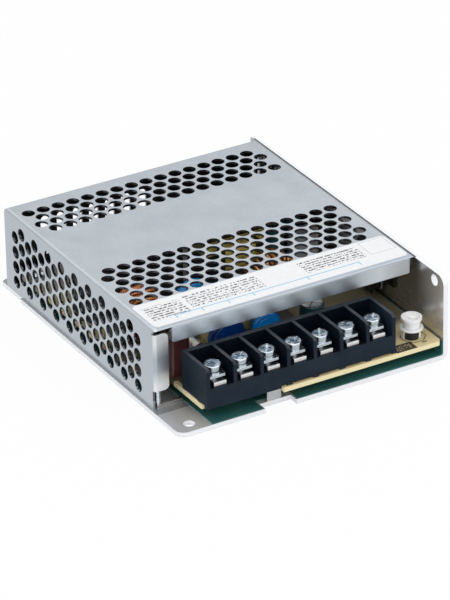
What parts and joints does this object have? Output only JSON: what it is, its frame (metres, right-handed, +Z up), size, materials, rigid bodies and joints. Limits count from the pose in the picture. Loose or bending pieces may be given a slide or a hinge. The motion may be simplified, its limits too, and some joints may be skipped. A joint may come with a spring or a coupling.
{
  "type": "enclosed switching power supply",
  "caption": "Enclosed switching power supply: folded sheet chassis, perforated cover, circuit board, barrier terminal block and turnable output trimmer in an open front bay.",
  "frame": {"origin": "middle of the overall box, at the chassis underside", "axes": "+Z up, +X towards the chassis wall, +Y from the terminals towards the rear"},
  "size_m": [0.0975, 0.1196, 0.0301],
  "materials": {
    "sheet_aluminium": "satin mill finish",
    "galvanised_steel": "galvanised, faintly mottled",
    "zinc": "bright bluish zinc plate",
    "tin": "bright tin plate",
    "label_white": "printed film",
    "film_green": "dark green film",
    "board_tan": "paper-epoxy laminate",
    "block_black": "moulded",
    "trimmer_white": "moulded",
    "black_plastic": "moulded",
    "fuse_ceramic": "glazed tube and caps",
    "red_dip": "dipped",
    "blue_dip": "dipped",
    "dark_dip": "dipped",
    "ferrite": "sintered ferrite",
    "copper": "enamelled copper",
    "olive_case": "moulded case",
    "bulk_sleeve": "shrink sleeve",
    "teal_sleeve": "shrink sleeve",
    "tape_yellow": "polyester tape",
    "grey_case": "moulded case",
    "pad_grey": "silicone pad"
  },
  "bodies": {
    "case": {"chassis": "sheet_aluminium", "cover": "galvanised_steel", "cover_screws": "zinc", "rating_label": "label_white", "insulation_film": "film_green", "board_standoffs": "zinc", "circuit_board": "board_tan", "board_screws": "zinc", "terminal_block": "block_black", "terminal_plates": "tin", "square_washers": "zinc", "spring_washers": "zinc", "terminal_screws": "zinc", "trimmer_body": "trimmer_white", "trimmer_element": "black_plastic", "input_fuse": "fuse_ceramic", "film_capacitor": "red_dip", "safety_capacitors": "blue_dip", "varistor": "blue_dip", "thermistor": "dark_dip", "filter_choke_core": "ferrite", "filter_choke_windings": "copper", "across_line_capacitor": "olive_case", "bridge_rectifier": "black_plastic", "bulk_capacitors": "bulk_sleeve", "transformer_core": "ferrite", "transformer_bobbin": "black_plastic", "transformer_winding": "tape_yellow", "output_choke_core": "ferrite", "output_choke_winding": "copper", "output_capacitors": "teal_sleeve", "auxiliary_capacitor": "teal_sleeve", "snubber_capacitor": "grey_case", "control_chip": "black_plastic", "optocouplers": "black_plastic", "thermal_pads": "pad_grey", "switching_transistor": "black_plastic", "output_rectifier": "black_plastic", "device_clips": "zinc", "clip_screws": "zinc"},
    "rotor": {"trimmer_rotor": "trimmer_white"}
  },
  "joints": [
    {"name": "trimmer_turn", "type": "hinge", "parent": "case", "child": "rotor", "pos_m": [0.03985, -0.0527, 0.012], "axis": [0, 0, 1], "range_deg": [-120, 120]}
  ]
}
